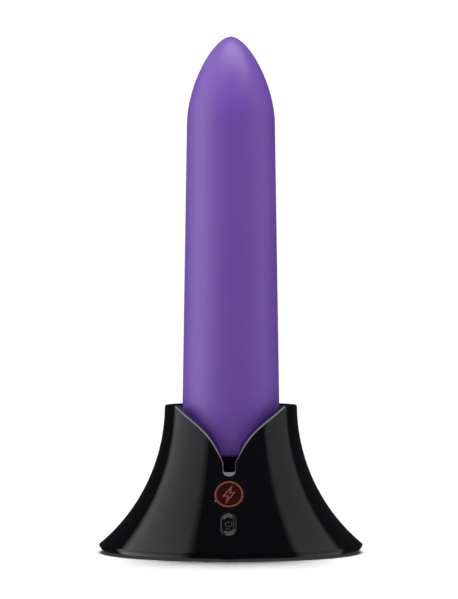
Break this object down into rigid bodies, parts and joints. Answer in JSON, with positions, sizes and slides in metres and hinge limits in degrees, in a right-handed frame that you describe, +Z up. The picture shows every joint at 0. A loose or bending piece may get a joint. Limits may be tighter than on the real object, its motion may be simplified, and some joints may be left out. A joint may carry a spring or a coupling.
{
  "type": "handheld wand massager",
  "caption": "Slim bullet-shaped handheld massager with a silicone sleeve, standing upright in a flared gloss charging dock with a notched front.",
  "frame": {"origin": "centre of the dock's round foot, on the surface it stands on", "axes": "+Z up along the handheld body, -Y towards the notched front of the dock"},
  "size_m": [0.0684, 0.0684, 0.1338],
  "materials": {
    "purple_silicone": "soft matte silicone",
    "gloss_black": "polished gloss",
    "dark_plastic": "satin",
    "natural_plastic": "matt",
    "rubber": "matt",
    "steel": "plain",
    "brass": "plated",
    "copper": "plain",
    "magnet": "matt",
    "cell_wrap": "plastic wrap over an aluminium can",
    "board_green": "solder mask",
    "chip_black": "matt",
    "indicator_amber": "translucent gloss",
    "lead_red": "plain",
    "lead_black": "plain"
  },
  "bodies": {
    "dock": {"dock_shell": "gloss_black", "base_plate": "dark_plastic", "foot_pad_1": "rubber", "foot_pad_2": "rubber", "foot_pad_3": "rubber", "foot_pad_4": "rubber", "base_screw_1": "steel", "base_screw_2": "steel", "base_screw_3": "steel", "base_screw_4": "steel", "contact_block": "dark_plastic", "pin_barrel_left": "brass", "pin_barrel_right": "brass", "pin_spring_left": "steel", "pin_spring_right": "steel", "indicator_lens": "indicator_amber", "indicator_led": "natural_plastic", "dock_switch_body": "chip_black", "front_board": "board_green", "dock_board": "board_green", "charging_socket_shell": "steel", "charging_socket_tongue": "chip_black"},
    "wand": {"silicone_sleeve": "purple_silicone", "housing_left": "natural_plastic", "housing_right": "natural_plastic", "motor_can": "steel", "motor_bush": "brass", "motor_magnet_ring": "magnet", "motor_end_cap": "dark_plastic", "motor_brush_left": "copper", "motor_brush_right": "copper", "motor_boot": "rubber", "battery_cell": "cell_wrap", "battery_tab_positive": "steel", "battery_tab_negative": "steel", "control_board": "board_green", "microcontroller_chip": "chip_black", "charging_chip": "chip_black", "filter_capacitor": "steel", "motor_lead_red": "lead_red", "motor_lead_black": "lead_black", "charge_lead_left": "lead_black", "charge_lead_right": "lead_red", "end_cap": "dark_plastic", "contact_left": "brass", "contact_right": "brass", "seal_ring": "rubber", "switch_board": "board_green", "switch_body": "chip_black"},
    "power_button": {"power_button": "dark_plastic", "switch_plunger": "steel"},
    "rotor": {"motor_shaft": "steel", "motor_armature": "copper", "motor_commutator": "copper", "eccentric_weight": "steel"},
    "dock_button": {"dock_button": "gloss_black", "dock_switch_plunger": "steel"},
    "left_pin": {"pin_plunger_left": "brass"},
    "right_pin": {"pin_plunger_right": "brass"}
  },
  "joints": [
    {"name": "wand_lift", "type": "slide", "parent": "dock", "child": "wand", "axis": [0, 0, 1], "range_m": [0, 0.03]},
    {"name": "power_press", "type": "slide", "parent": "wand", "child": "power_button", "axis": [0, 0, 1], "range_m": [0, 0.0005], "stiffness_N_per_m": 800, "springref_m": -0.0005},
    {"name": "motor_spin", "type": "hinge", "parent": "wand", "child": "rotor", "pos_m": [0, 0, 0.093], "axis": [0, 0, 1], "continuous": true},
    {"name": "dock_press", "type": "slide", "parent": "dock", "child": "dock_button", "axis": [0, 0.7802, -0.6255], "range_m": [0, 0.0005], "stiffness_N_per_m": 800, "springref_m": -0.0005},
    {"name": "left_pin_press", "type": "slide", "parent": "dock", "child": "left_pin", "axis": [0, 0, -1], "range_m": [0, 0.0006], "stiffness_N_per_m": 400, "springref_m": -0.001, "deforming": ["pin_spring_left"]},
    {"name": "right_pin_press", "type": "slide", "parent": "dock", "child": "right_pin", "axis": [0, 0, -1], "range_m": [0, 0.0006], "stiffness_N_per_m": 400, "springref_m": -0.001, "deforming": ["pin_spring_right"]}
  ]
}
